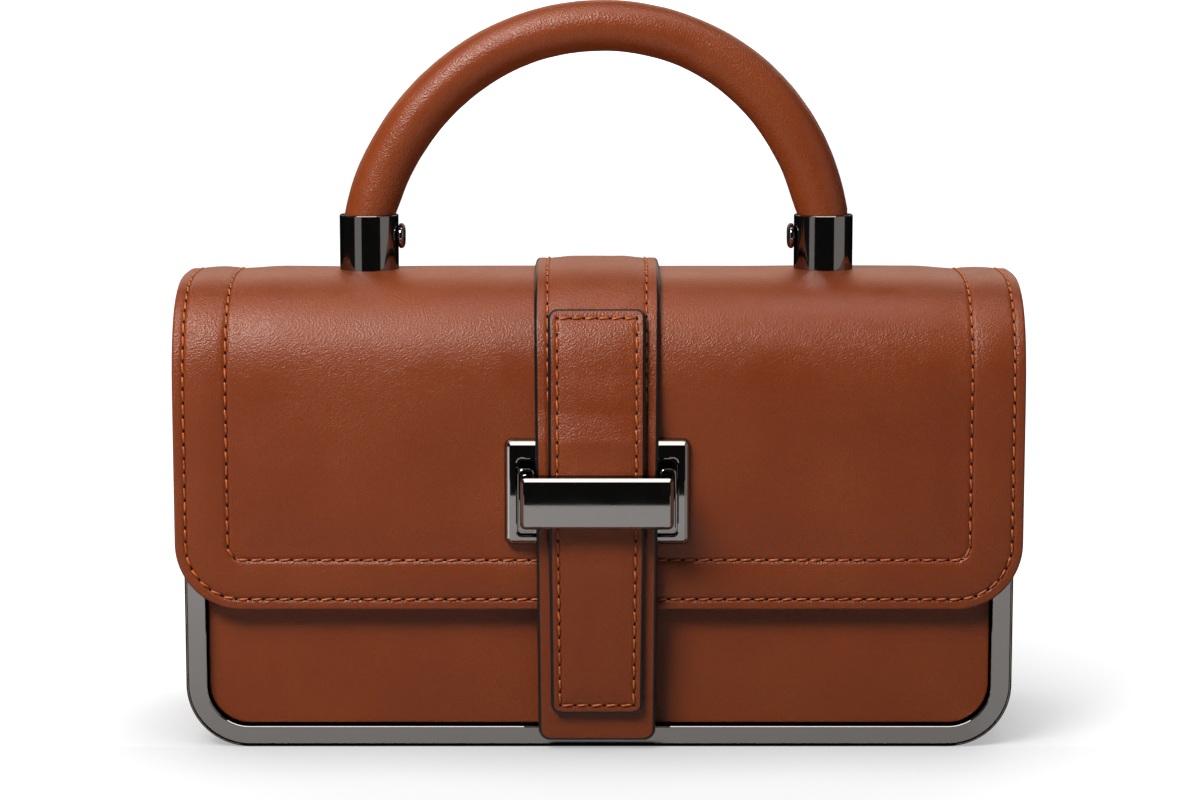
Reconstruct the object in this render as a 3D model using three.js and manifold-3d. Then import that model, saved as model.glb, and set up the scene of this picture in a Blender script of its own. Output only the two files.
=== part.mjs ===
// A flap-over satchel: a leather box in a U-shaped metal frame, a flap that
// rolls over the top, two straps under a metal bar, and a round handle that
// stands in two metal ferrules.
//
// Millimetres, +Z up. The front faces -Y. The origin is on the floor, under
// the middle of the body's base.

import * as THREE from "three";
import { mergeVertices } from "three/addons/utils/BufferGeometryUtils.js";
import Module from "manifold-3d";

const wasm = await Module();
wasm.setup();

// Gap left between two pieces that touch on the real satchel.
const clearance = 0.3;

// Metal frame round the front of the body
const frameWidth = 235.5;
const frameFace = 6;
const frameDepth = 10;
const frameCorner = 18;
const frameBevel = 0.9;
const frameArmDrop = 1; // how far below the roll the arms end

// Leather body inside and behind the frame
const bodyDepth = 70.4;
const gussetInset = 0.6;
const gussetThickness = 2.2;
const panelThickness = 2.4;
const panelBevel = 0.6;
const frontPanelRecess = 3.2;

// Flap. Its top is a roll whose section is a superellipse.
const flapWidth = 240;
const flapThickness = 3;
const flapTop = 133.9;
const rollRise = 38;
const rollPower = 3;
const flapFrontEdge = 40.3;
const flapFrontCorner = 19;
const flapBackEdge = 60;
const flapBackCorner = 12;

// Wide strap, over the flap from the back down to the foot of the front
const wideStrapWidth = 34;
const wideStrapThickness = 2.6;
const wideStrapFoot = 2.8;
const wideStrapCorner = 3.2;
const wideStrapBackMargin = 12; // above the flap's back edge
const strapFootGap = 1.4; // between the strap's foot and the frame's face
const strapSettle = 17; // height in which the strap comes down off the plate

// Narrow strap, sewn on the wide one
const narrowStrapInset = 3.5;
const narrowStrapThickness = 2.2;
const narrowStrapMargin = 8.6; // above the wide strap's foot
const narrowStrapLength = 113;
const narrowStrapCorner = 2.4;

// Clasp plate on the flap, with a pocket that the bar's posts stand in
const plateFoot = 59.7;
const plateThickness = 3;
const plateSideArm = 3.7;
const plateTopArm = 5.4;
const plateBottomArm = 2.9;
const plateCorner = 1.7;
const plateBevel = 0.7;
const pocketHeight = 21.8;
const pocketDepth = 2;
const pocketCorner = 1.2;

// Clasp bar across the straps, and its posts
const barHeight = 14.6;
const barThickness = 6.2;
const barInset = 1.05; // from the pocket's sides to the bar's ends
const barCorner = 1.4;
const barBevel = 1;
const postWidth = 4.8;
const postMargin = 1.9; // above and below a post in the pocket
const postCorner = 1.4;

// Handle: a half circle that starts a little above the flap
const handleRadius = 7.25;
const handleHalfSpan = 66;
const handleBulge = 1; // how far the bend's radius passes the half span
const handleBendHeight = 3.5;

// Ferrules, which sink a little into the padded flap
const ferruleWall = 0.8;
const ferruleFit = 0.5;
const ferruleHeight = 16.6;
const ferruleFloor = 3;
const ferruleRim = 0.35;
const ferruleSink = 1;

// Screw through each ferrule's inner side into the handle's end
const screwHeadRadius = 3.7;
const screwHeadThickness = 1.8;
const screwHeadBevel = 0.4;
const screwShankRadius = 1.5;
const screwShankLength = 4.2;
const screwSocketRadius = 1.5;
const screwSocketDepth = 0.9;
const screwHeight = 10.3;

// Fineness of the faceted curves
const rollSteps = 26;
const cornerSteps = 5;
const handleSteps = 44;
const handleSides = 20;
const ferruleSides = 32;
const pinSides = 20;

// Sizes that follow from the ones above
const bodyFront = -bodyDepth / 2;
const bodyBack = bodyDepth / 2;
const frameBack = bodyFront + frameDepth;
const flapHalfDepth = bodyDepth / 2 + clearance + flapThickness;
const rollStart = flapTop - rollRise;
const frameTop = rollStart - frameArmDrop;
const gussetHalfWidth = frameWidth / 2 - gussetInset;
const gussetCorner = frameCorner - gussetInset;
const narrowStrapWidth = wideStrapWidth - 2 * narrowStrapInset;
const narrowStrapFoot = wideStrapFoot + narrowStrapMargin;
const postInner = wideStrapWidth / 2 + clearance;
const postOuter = postInner + postWidth;
const pocketHalfWidth = postOuter + clearance;
const plateHalfWidth = pocketHalfWidth + plateSideArm;
const plateTop = plateFoot + plateBottomArm + pocketHeight + plateTopArm;
const pocketMiddle = plateFoot + plateBottomArm + pocketHeight / 2;
const plateBack = -flapHalfDepth - clearance;
const plateFront = plateBack - plateThickness;
const handleBend = handleHalfSpan + handleBulge;
const ferruleFoot = flapTop - ferruleSink + clearance;
const ferruleBore = handleRadius + ferruleFit;
const ferruleRadius = ferruleBore + ferruleWall;
const screwHeadBack = handleHalfSpan - ferruleRadius - clearance;
const screwTip = screwHeadBack + screwShankLength;

const leather = { color: 0x84432b, roughness: 0.5, metalness: 0 };
const gunmetal = { color: 0x5d5955, roughness: 0.15, metalness: 1 };

// Between three.js geometries and manifold solids

function solid(geometry) {
  const bare = new THREE.BufferGeometry();
  bare.setAttribute("position", geometry.getAttribute("position"));
  if (geometry.index) bare.setIndex(geometry.index);
  const merged = mergeVertices(bare, 1e-4);
  return new wasm.Manifold(
    new wasm.Mesh({
      numProp: 3,
      vertProperties: new Float32Array(merged.attributes.position.array),
      triVerts: new Uint32Array(merged.index.array),
    }),
  );
}

function geometryOf(manifold) {
  const mesh = manifold.getMesh();
  const geometry = new THREE.BufferGeometry();
  geometry.setAttribute("position", new THREE.BufferAttribute(mesh.vertProperties, mesh.numProp));
  geometry.setIndex(new THREE.BufferAttribute(mesh.triVerts, 1));
  const faceted = geometry.toNonIndexed();
  faceted.computeVertexNormals();
  return faceted;
}

function piece(name, shape, finish) {
  const mesh = new THREE.Mesh(geometryOf(shape), new THREE.MeshStandardMaterial(finish));
  mesh.name = name;
  return mesh;
}

// Shapes seen from the front, in X and Z, with thickness along Y

function roundedRectangle(halfWidth, low, high, lowCorner, highCorner = lowCorner) {
  const right = Math.PI / 2;
  const outline = new THREE.Shape();
  outline.absarc(halfWidth - lowCorner, low + lowCorner, lowCorner, -right, 0, false);
  outline.absarc(halfWidth - highCorner, high - highCorner, highCorner, 0, right, false);
  outline.absarc(-halfWidth + highCorner, high - highCorner, highCorner, right, 2 * right, false);
  outline.absarc(-halfWidth + lowCorner, low + lowCorner, lowCorner, 2 * right, 3 * right, false);
  return outline;
}

// A rectangle whose lower corners are round and whose upper ones are square.
function roundedFoot(halfWidth, low, high, corner) {
  const right = Math.PI / 2;
  const outline = new THREE.Shape();
  outline.absarc(halfWidth - corner, low + corner, corner, -right, 0, false);
  outline.lineTo(halfWidth, high);
  outline.lineTo(-halfWidth, high);
  outline.absarc(-halfWidth + corner, low + corner, corner, 2 * right, 3 * right, false);
  return outline;
}

function alongY(outline, front, back, bevel = 0, curveSegments = 8) {
  const geometry = new THREE.ExtrudeGeometry(outline, {
    depth: back - front - 2 * bevel,
    bevelEnabled: bevel > 0,
    bevelSize: bevel,
    bevelOffset: -bevel,
    bevelThickness: bevel,
    bevelSegments: 1,
    curveSegments,
  });
  geometry.rotateX(Math.PI / 2);
  geometry.translate(0, back - bevel, 0);
  return solid(geometry);
}

// A shape in Y and Z, with its width along X.
function alongX(points, width) {
  const geometry = new THREE.ExtrudeGeometry(new THREE.Shape(points), {
    depth: width,
    bevelEnabled: false,
  });
  geometry.rotateX(Math.PI / 2);
  geometry.rotateZ(Math.PI / 2);
  geometry.translate(-width / 2, 0, 0);
  return solid(geometry);
}

// Turned shapes. A profile's points are radius and height.

function turnedAboutZ(profile, x, sides) {
  const geometry = new THREE.LatheGeometry(profile, sides);
  geometry.rotateX(Math.PI / 2);
  geometry.translate(x, 0, 0);
  return solid(geometry);
}

// The profile's heights run outwards along X on the given side.
function turnedAboutX(profile, side, z, sides) {
  const geometry = new THREE.LatheGeometry(profile, sides);
  geometry.rotateZ((-side * Math.PI) / 2);
  geometry.translate(0, 0, z);
  return solid(geometry);
}

function points(...pairs) {
  return pairs.map(([x, y]) => new THREE.Vector2(x, y));
}

// Strips of leather that follow the flap's outer surface

// A place on the roll, from a turn of 0 at its front to PI at its back.
function rollPlace(turn) {
  const side = -Math.sign(Math.cos(turn));
  const across = Math.abs(Math.cos(turn));
  const up = Math.max(Math.sin(turn), 0);
  const reach = 2 / rollPower;
  return {
    point: new THREE.Vector2(
      side * flapHalfDepth * across ** reach,
      rollStart + rollRise * up ** reach,
    ),
    facing: new THREE.Vector2(
      (side * across ** (2 - reach)) / flapHalfDepth,
      up ** (2 - reach) / rollRise,
    ).normalize(),
  };
}

// Places from a height at the front, over the roll, to a height at the back.
function overTheTop(frontEnd, backEnd) {
  const roll = [];
  for (let i = 0; i <= rollSteps; i++) roll.push(rollPlace((Math.PI * i) / rollSteps));
  return [
    { point: new THREE.Vector2(-flapHalfDepth, frontEnd), facing: roll[0].facing },
    ...roll,
    { point: new THREE.Vector2(flapHalfDepth, backEnd), facing: roll[rollSteps].facing },
  ];
}

// Gives each place its run from the first, and adds places at the runs asked for.
function withRuns(places, runs) {
  let run = 0;
  const line = places.map((place, i) => {
    if (i > 0) run += place.point.distanceTo(places[i - 1].point);
    return { ...place, run };
  });
  for (const wanted of runs) {
    const after = line.findIndex((place) => place.run > wanted);
    if (after < 1) continue;
    const { point, facing, run: start } = line[after - 1];
    const share = (wanted - start) / (line[after].run - start);
    if (share < 1e-3 || share > 1 - 1e-3) continue;
    line.splice(after, 0, {
      point: point.clone().lerp(line[after].point, share),
      facing: facing.clone().lerp(line[after].facing, share).normalize(),
      run: wanted,
    });
  }
  return line;
}

// A strip with round corners at its ends, along a line of the given length. Its
// faces lie off the flap's outer surface by the distances near and far.
function strip({ places, length, width, startCorner, endCorner, near, far, runs = [] }) {
  const wanted = [length, ...runs];
  for (let i = 1; i <= cornerSteps; i++) {
    const depth = 1 - Math.cos((Math.PI * i) / cornerSteps / 2);
    wanted.push(startCorner * depth, length - endCorner * depth);
  }
  const line = withRuns(places, wanted).filter((place) => place.run < length + 1e-3);
  const corners = [];
  for (const { point, facing, run } of line) {
    const corner = run < length / 2 ? startCorner : endCorner;
    const inset = corner - Math.max(0, Math.min(run, length - run, corner));
    const half = width / 2 - corner + Math.sqrt(corner * corner - inset * inset);
    const inner = point.clone().addScaledVector(facing, near(point));
    const outer = point.clone().addScaledVector(facing, far(point));
    corners.push(half, inner.x, inner.y, -half, inner.x, inner.y);
    corners.push(-half, outer.x, outer.y, half, outer.x, outer.y);
  }
  const faces = [0, 2, 1, 0, 3, 2];
  for (let i = 0; i + 1 < line.length; i++) {
    for (let edge = 0; edge < 4; edge++) {
      const a = 4 * i + edge;
      const b = 4 * i + ((edge + 1) % 4);
      faces.push(a, b, b + 4, a, b + 4, a + 4);
    }
  }
  const last = 4 * (line.length - 1);
  faces.push(last, last + 1, last + 2, last, last + 2, last + 3);
  const geometry = new THREE.BufferGeometry();
  geometry.setAttribute("position", new THREE.Float32BufferAttribute(corners, 3));
  geometry.setIndex(faces);
  return solid(geometry);
}

function lengthOf(places) {
  return withRuns(places, []).at(-1).run;
}

// Body

// A closed frame with bevelled edges, cut off level above the U.
function makeFrame() {
  const half = frameWidth / 2;
  const outline = roundedFoot(half, 0, frameTop + frameFace, frameCorner);
  const innerTop = frameTop + frameFace / 2;
  outline.holes.push(
    roundedFoot(half - frameFace, frameFace, innerTop, frameCorner - frameFace),
  );
  const closed = alongY(outline, bodyFront, frameBack, frameBevel, 12);
  return closed.trimByPlane([0, 0, -1], -frameTop);
}

function makeFrontPanel() {
  const inset = frameFace + clearance;
  const face = bodyFront + frontPanelRecess;
  const outline = roundedFoot(frameWidth / 2 - inset, inset, rollStart, frameCorner - inset);
  return alongY(outline, face, face + panelThickness, panelBevel);
}

function makeBackPanel() {
  const outline = roundedFoot(gussetHalfWidth, 0, rollStart, gussetCorner);
  return alongY(outline, bodyBack - panelThickness, bodyBack, panelBevel);
}

// One strip for the ends and the base. Its ends rise into the roll, forwards
// over the frame's arms and backwards over the back panel.
function makeGusset() {
  const front = frameBack + clearance;
  const back = bodyBack - panelThickness - clearance;
  const overFrame = frameTop + clearance;
  const overPanel = rollStart + clearance;
  const arch = overTheTop(0, 0)
    .map(({ point, facing }) => point.addScaledVector(facing, -flapThickness - clearance))
    .filter((point) => point.y > overPanel);
  const side = [
    ...points([front, 0], [back, 0], [back, overPanel], [bodyBack, overPanel]),
    ...arch.reverse(),
    ...points([bodyFront, overPanel], [bodyFront, overFrame], [front, overFrame]),
  ];
  const outer = roundedFoot(gussetHalfWidth, 0, flapTop, gussetCorner);
  const inner = roundedFoot(
    gussetHalfWidth - gussetThickness,
    gussetThickness,
    flapTop + gussetThickness,
    gussetCorner - gussetThickness,
  );
  return alongX(side, frameWidth)
    .intersect(alongY(outer, bodyFront, bodyBack))
    .subtract(alongY(inner, bodyFront - 1, bodyBack + 1));
}

// Flap

function makeFlap() {
  const places = overTheTop(flapFrontEdge, flapBackEdge);
  const sheet = strip({
    places,
    length: lengthOf(places),
    width: flapWidth,
    startCorner: flapFrontCorner,
    endCorner: flapBackCorner,
    near: () => -flapThickness,
    far: () => 0,
  });
  const seat = points(
    [0, flapTop - ferruleSink],
    [ferruleRadius + clearance, flapTop - ferruleSink],
    [ferruleRadius + clearance, flapTop + ferruleSink],
    [0, flapTop + ferruleSink],
  );
  return sheet
    .subtract(turnedAboutZ(seat, -handleHalfSpan, ferruleSides))
    .subtract(turnedAboutZ(seat, handleHalfSpan, ferruleSides));
}

// Straps

// How far the wide strap's inner face stands off the flap's outer surface. It
// passes over the clasp plate, settles on the roll, and hangs free at its foot.
function wideStrapNear(point) {
  const overPlate = plateThickness + 2 * clearance;
  if (point.x > -flapHalfDepth / 2) return clearance;
  if (point.y > plateFoot) {
    const settled = THREE.MathUtils.mapLinear(point.y, plateTop, plateTop + strapSettle, 0, 1);
    return THREE.MathUtils.lerp(overPlate, clearance, THREE.MathUtils.clamp(settled, 0, 1));
  }
  const foot = strapFootGap - flapHalfDepth - bodyFront;
  return THREE.MathUtils.mapLinear(point.y, plateFoot, wideStrapFoot, overPlate, foot);
}

function wideStrapFar(point) {
  return wideStrapNear(point) + wideStrapThickness;
}

function makeWideStrap() {
  const places = overTheTop(wideStrapFoot, flapBackEdge + wideStrapBackMargin);
  return strip({
    places,
    length: lengthOf(places),
    width: wideStrapWidth,
    startCorner: wideStrapCorner,
    endCorner: wideStrapCorner,
    near: wideStrapNear,
    far: wideStrapFar,
    runs: [plateFoot, plateTop, plateTop + strapSettle].map((height) => height - wideStrapFoot),
  });
}

function makeNarrowStrap() {
  return strip({
    places: overTheTop(narrowStrapFoot, 0),
    length: narrowStrapLength,
    width: narrowStrapWidth,
    startCorner: narrowStrapCorner,
    endCorner: narrowStrapCorner,
    near: (point) => wideStrapFar(point) + clearance,
    far: (point) => wideStrapFar(point) + clearance + narrowStrapThickness,
    runs: [plateFoot, plateTop, plateTop + strapSettle].map((height) => height - narrowStrapFoot),
  });
}

// Clasp

function makePlate() {
  const low = plateFoot + plateBottomArm;
  const body = roundedRectangle(plateHalfWidth, plateFoot, plateTop, plateCorner);
  const pocket = roundedRectangle(pocketHalfWidth, low, low + pocketHeight, pocketCorner);
  return alongY(body, plateFront, plateBack, plateBevel, 4).subtract(
    alongY(pocket, plateFront - 1, plateFront + pocketDepth, 0, 4),
  );
}

function makeBar() {
  const strapStack = wideStrapThickness + narrowStrapThickness + 2 * clearance;
  const back = plateFront - strapStack - clearance;
  const front = back - barThickness;
  const floor = plateFront + pocketDepth;
  const half = pocketHalfWidth - barInset;
  const low = pocketMiddle - barHeight / 2;
  const outline = roundedRectangle(half, low, low + barHeight, barCorner);
  const postHeight = pocketHeight - 2 * postMargin;
  const postLow = pocketMiddle - postHeight / 2;
  const postOutline = roundedRectangle(postWidth / 2, postLow, postLow + postHeight, postCorner);
  const post = alongY(postOutline, back - barBevel, floor - clearance, 0, 4);
  const reach = (postInner + postOuter) / 2;
  return alongY(outline, front, back, barBevel, 4)
    .add(post.translate([-reach, 0, 0]))
    .add(post.translate([reach, 0, 0]));
}

// Handle

// The handle's middle line: a short upright stretch in each ferrule, and an arc
// between them.
class HandleLine extends THREE.Curve {
  getPoint(share, target = new THREE.Vector3()) {
    const centre = flapTop + handleBendHeight;
    const spring = Math.acos(handleHalfSpan / handleBend);
    const foot = ferruleFoot + ferruleFloor + clearance;
    const upright = centre + handleBend * Math.sin(spring) - foot;
    const arc = handleBend * (Math.PI - 2 * spring);
    const run = share * (arc + 2 * upright);
    const past = run - upright - arc;
    if (run < upright) return target.set(-handleHalfSpan, 0, foot + run);
    if (past > 0) return target.set(handleHalfSpan, 0, foot + upright - past);
    const angle = Math.PI - spring - (run - upright) / handleBend;
    return target.set(handleBend * Math.cos(angle), 0, centre + handleBend * Math.sin(angle));
  }
}

function screwHole(side, from, to) {
  const radius = screwShankRadius + clearance;
  const profile = points([0, from], [radius, from], [radius, to], [0, to]);
  return turnedAboutX(profile, side, ferruleFoot + screwHeight, pinSides);
}

function makeHandle() {
  const section = new THREE.Shape();
  section.absarc(0, 0, handleRadius, 0, 2 * Math.PI, false);
  const tube = new THREE.ExtrudeGeometry(section, {
    steps: handleSteps,
    curveSegments: handleSides / 2,
    extrudePath: new HandleLine(),
    bevelEnabled: false,
  });
  const end = screwTip + clearance;
  return solid(tube)
    .subtract(screwHole(-1, screwHeadBack, end))
    .subtract(screwHole(1, screwHeadBack, end));
}

function makeFerrule(side) {
  const top = ferruleFoot + ferruleHeight;
  const floor = ferruleFoot + ferruleFloor;
  const profile = points(
    [0, ferruleFoot],
    [ferruleRadius, ferruleFoot],
    [ferruleRadius, top - ferruleRim],
    [ferruleRadius - ferruleRim, top],
    [ferruleBore, top],
    [ferruleBore, floor],
    [0, floor],
  );
  return turnedAboutZ(profile, side * handleHalfSpan, ferruleSides).subtract(
    screwHole(side, screwHeadBack - clearance, handleHalfSpan),
  );
}

function makeScrew(side) {
  const front = screwHeadBack - screwHeadThickness;
  const height = ferruleFoot + screwHeight;
  const profile = points(
    [0, front],
    [screwHeadRadius - screwHeadBevel, front],
    [screwHeadRadius, front + screwHeadBevel],
    [screwHeadRadius, screwHeadBack],
    [screwShankRadius, screwHeadBack],
    [screwShankRadius, screwTip],
    [0, screwTip],
  );
  const socket = points(
    [0, front - screwSocketDepth],
    [screwSocketRadius, front - screwSocketDepth],
    [screwSocketRadius, front + screwSocketDepth],
    [0, front + screwSocketDepth],
  );
  return turnedAboutX(profile, side, height, pinSides).subtract(
    turnedAboutX(socket, side, height, 6),
  );
}

const satchel = new THREE.Group();
satchel.name = "satchel";
satchel.add(piece("metal_frame", makeFrame(), gunmetal));
satchel.add(piece("front_panel", makeFrontPanel(), leather));
satchel.add(piece("back_panel", makeBackPanel(), leather));
satchel.add(piece("gusset", makeGusset(), leather));
satchel.add(piece("flap", makeFlap(), leather));
satchel.add(piece("wide_strap", makeWideStrap(), leather));
satchel.add(piece("narrow_strap", makeNarrowStrap(), leather));
satchel.add(piece("clasp_plate", makePlate(), gunmetal));
satchel.add(piece("clasp_bar", makeBar(), gunmetal));
satchel.add(piece("handle", makeHandle(), leather));
satchel.add(piece("ferrule_left", makeFerrule(-1), gunmetal));
satchel.add(piece("ferrule_right", makeFerrule(1), gunmetal));
satchel.add(piece("screw_left", makeScrew(-1), gunmetal));
satchel.add(piece("screw_right", makeScrew(1), gunmetal));

export default satchel;
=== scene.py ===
import bisect
import math

import bmesh
import bpy
from mathutils import Matrix, Vector, noise


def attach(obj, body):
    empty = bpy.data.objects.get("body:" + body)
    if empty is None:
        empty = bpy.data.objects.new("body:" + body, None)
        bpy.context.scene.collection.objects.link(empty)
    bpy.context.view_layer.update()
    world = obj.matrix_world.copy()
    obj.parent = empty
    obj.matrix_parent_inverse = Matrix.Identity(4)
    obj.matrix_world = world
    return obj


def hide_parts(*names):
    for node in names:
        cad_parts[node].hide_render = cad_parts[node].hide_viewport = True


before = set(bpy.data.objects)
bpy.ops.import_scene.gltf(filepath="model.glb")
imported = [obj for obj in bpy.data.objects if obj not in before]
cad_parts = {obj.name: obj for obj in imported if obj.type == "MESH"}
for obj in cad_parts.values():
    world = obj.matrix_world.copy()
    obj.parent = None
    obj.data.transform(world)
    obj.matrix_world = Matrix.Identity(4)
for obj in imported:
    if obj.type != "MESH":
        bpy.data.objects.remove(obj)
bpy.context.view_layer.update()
mm = 0.001


# Small helpers

def toLinear(hexColour):
    values = [int(hexColour[i:i + 2], 16) / 255 for i in (1, 3, 5)]
    return [v / 12.92 if v <= 0.04045 else ((v + 0.055) / 1.055) ** 2.4 for v in values] + [1.0]


def addNode(tree, kind, settings=None, links=None):
    node = tree.nodes.new(kind)
    for name, value in (settings or {}).items():
        if isinstance(name, int) or name in node.inputs:
            node.inputs[name].default_value = value
        else:
            setattr(node, name, value)
    for name, socket in (links or {}).items():
        tree.links.new(socket, node.inputs[name])
    return node


def objectPlace(tree):
    return addNode(tree, "ShaderNodeTexCoord").outputs["Object"]


def addNoise(tree, vector, size, detail=2.0, roughness=0.5):
    # noise with hills of about that size in mm
    values = {"Scale": 1000 / size, "Detail": detail, "Roughness": roughness}
    return addNode(tree, "ShaderNodeTexNoise", values, {"Vector": vector})


def addRamp(tree, value, low, high, start=0.0, end=1.0):
    ramp = addNode(tree, "ShaderNodeValToRGB", links={"Fac": value})
    for element, position, colour in zip(ramp.color_ramp.elements, (start, end), (low, high)):
        element.position = position
        element.color = colour
    return ramp.outputs["Color"]


def addBump(tree, height, strength, distance):
    values = {"Strength": strength, "Distance": distance}
    return addNode(tree, "ShaderNodeBump", values, {"Height": height}).outputs[0]


def addRange(tree, value, fromMin, fromMax, toMin, toMax, kind="LINEAR"):
    values = {"From Min": fromMin, "From Max": fromMax, "To Min": toMin, "To Max": toMax, "interpolation_type": kind}
    return addNode(tree, "ShaderNodeMapRange", values, {"Value": value}).outputs[0]


def newMaterial(name):
    material = bpy.data.materials.new(name)
    material.use_nodes = True
    tree = material.node_tree
    tree.nodes.clear()
    return material, tree


def finishMaterial(tree, settings, links):
    shader = addNode(tree, "ShaderNodeBsdfPrincipled", settings, links)
    addNode(tree, "ShaderNodeOutputMaterial", links={"Surface": shader.outputs[0]})


def smooth(a, b, x):
    t = min(1.0, max(0.0, (x - a) / (b - a)))
    return t * t * (3 - 2 * t)


def bell(x, width):
    return math.exp(-(x / width) ** 2)


def between(x, table):
    # value at x in a table of (x, value) rows, straight between them
    if x <= table[0][0]:
        return table[0][1]
    for (x0, v0), (x1, v1) in zip(table, table[1:]):
        if x <= x1:
            return v0 + (v1 - v0) * (x - x0) / (x1 - x0)
    return table[-1][1]


def spread(spans):
    # grid lines for spans of (from, to, step)
    lines = [spans[0][0]]
    for start, end, step in spans:
        count = max(1, round((end - start) / step))
        lines += [start + (end - start) * i / count for i in range(1, count + 1)]
    return lines


def mirrored(lines):
    return [-x for x in reversed(lines) if x > 0] + lines


def waver(x, run, across, along, seed):
    # noise over a surface, with hills of about those sizes in mm
    return noise.noise(Vector((x / across, run / along, seed)))


def makePiece(name, bm, materials, replaced=()):
    mesh = bpy.data.meshes.new(name)
    for face in bm.faces:
        face.smooth = True
    bm.to_mesh(mesh)
    bm.free()
    for material in materials:
        mesh.materials.append(material)
    piece = bpy.data.objects.new(name, mesh)
    bpy.context.scene.collection.objects.link(piece)
    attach(piece, "root")
    if replaced:
        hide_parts(*replaced)
    return piece


# The line that the flap follows: up the front, over the roll and down the
# back. A run is the distance along it from the floor at the front, in mm.

roll = {
    "halfDepth": 38.5,
    "start": 95.9,
    "rise": 38.0,
    "power": 3.0,
    "steps": 900,
    "clearance": 0.3,
}


def rollTable():
    table = []
    reach = 2 / roll["power"]
    run = roll["start"]
    for i in range(roll["steps"] + 1):
        turn = math.pi * i / roll["steps"]
        side = -1 if math.cos(turn) > 0 else 1
        across = abs(math.cos(turn))
        up = max(math.sin(turn), 0.0)
        wide, high = side * roll["halfDepth"], roll["rise"]
        point = Vector((wide * across ** reach, roll["start"] + high * up ** reach))
        facing = Vector((across ** (2 - reach) / wide, up ** (2 - reach) / high))
        if table:
            run += (point - table[-1][1]).length
        table.append((run, point, facing.normalized()))
    return table


rollRows = rollTable()
rollRuns = [row[0] for row in rollRows]
rollEnd = rollRuns[-1]
lineEnd = rollEnd + roll["start"]


def linePlace(run):
    # depth and height on the line, and which way the leather faces there
    if run <= rollRuns[0]:
        return Vector((-roll["halfDepth"], run)), Vector((-1, 0))
    if run >= rollEnd:
        return Vector((roll["halfDepth"], roll["start"] - (run - rollEnd))), Vector((1, 0))
    after = bisect.bisect_right(rollRuns, run)
    run0, point0, facing0 = rollRows[after - 1]
    run1, point1, facing1 = rollRows[min(after, len(rollRows) - 1)]
    share = (run - run0) / max(run1 - run0, 1e-9)
    return point0.lerp(point1, share), facing0.lerp(facing1, share).normalized()


def onLine(x, run, lift):
    point, facing = linePlace(run)
    place = point + facing * lift
    return Vector((x, place.x, place.y)) * mm


# Flat sheets of leather that are cut with round corners and then bent

def edgeDistance(x, run, halfWidth, start, end, startCorner, endCorner):
    # how far inside the cut edge a point lies
    corner = startCorner if run - start < end - run else endCorner
    fromSide = halfWidth - abs(x)
    fromEnd = min(run - start, end - run)
    if fromSide < corner and fromEnd < corner:
        return corner - math.hypot(corner - fromSide, corner - fromEnd)
    return min(fromSide, fromEnd)


def halfAt(run, halfWidth, start, end, startCorner, endCorner):
    corner = startCorner if run - start < end - run else endCorner
    inset = corner - max(0.0, min(run - start, end - run, corner))
    return halfWidth - corner + math.sqrt(max(corner * corner - inset * inset, 0.0))


def sheetCut(widths, start, end, startCorner, endCorner):
    # widths is a table of (run, half width)
    ends = (start, end, startCorner, endCorner)
    return {
        "half": lambda run: halfAt(run, between(run, widths), *ends),
        "inside": lambda x, run: edgeDistance(x, run, between(run, widths), *ends),
    }


def cornerRuns(corner, count):
    return [corner * (1 - math.cos(math.pi / 2 * i / count)) for i in range(count + 1)]


def mergeRuns(*lists, gap=0.06):
    kept = []
    for run in sorted(x for lines in lists for x in lines):
        if not kept or run - kept[-1] > gap:
            kept.append(run)
    return kept


def mapGrain(bm, flat):
    # the leather's own UV map, in metres, from one flat place for each vertex
    grain = bm.loops.layers.uv.new("grain")
    bm.verts.index_update()
    for face in bm.faces:
        for loop in face.loops:
            loop[grain].uv = flat[loop.vert.index]


def bentSheet(cut, columns, runs, place, top, bottom):
    # A grid is cut to its outline and given a back, then every point goes to
    # its place. top and bottom give the two faces' heights over the line.
    bm = bmesh.new()
    bmesh.ops.create_grid(bm, x_segments=len(columns) - 1, y_segments=len(runs) - 1, size=1)
    bmesh.ops.solidify(bm, geom=bm.faces[:], thickness=1)
    edge = bm.verts.layers.float.new("edge_mm")
    flat = []
    levels = [v.co.z for v in bm.verts]
    middle = (min(levels) + max(levels)) / 2
    full = columns[-1]
    for v in bm.verts:
        i = round((v.co.x + 1) / 2 * (len(columns) - 1))
        j = round((v.co.y + 1) / 2 * (len(runs) - 1))
        run = runs[j]
        half = cut["half"](run)
        x = columns[i] / full * half
        d = cut["inside"](x, run)
        height = top(x, run, d) if v.co.z > middle else bottom(x, run, d)
        v[edge] = d
        v.co = place(x, run, height)
        flat.append((x * mm, run * mm))
    mapGrain(bm, flat)
    bmesh.ops.recalc_face_normals(bm, faces=bm.faces[:])
    return bm


def roundEdge(d, radius):
    # how far a face drops towards a rounded edge
    if d >= radius:
        return 0.0
    return radius - math.sqrt(max(radius * radius - (radius - max(d, 0.0)) ** 2, 0.0))


# Stitches: a thread that dips into the leather at both ends, and a dark blob of
# painted shade for the needle hole where it goes in

thread = {
    "pitch": 3.95,
    "length": 3.15,
    "width": 0.7,
    "height": 0.62,
    "slant": 6.0,
    "lift": 0.22,
    "sunk": 0.5,
    "raised": 0.14,
    "holeLength": 1.05,
    "holeWidth": 0.58,
    "holeHeight": 0.16,
}


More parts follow.
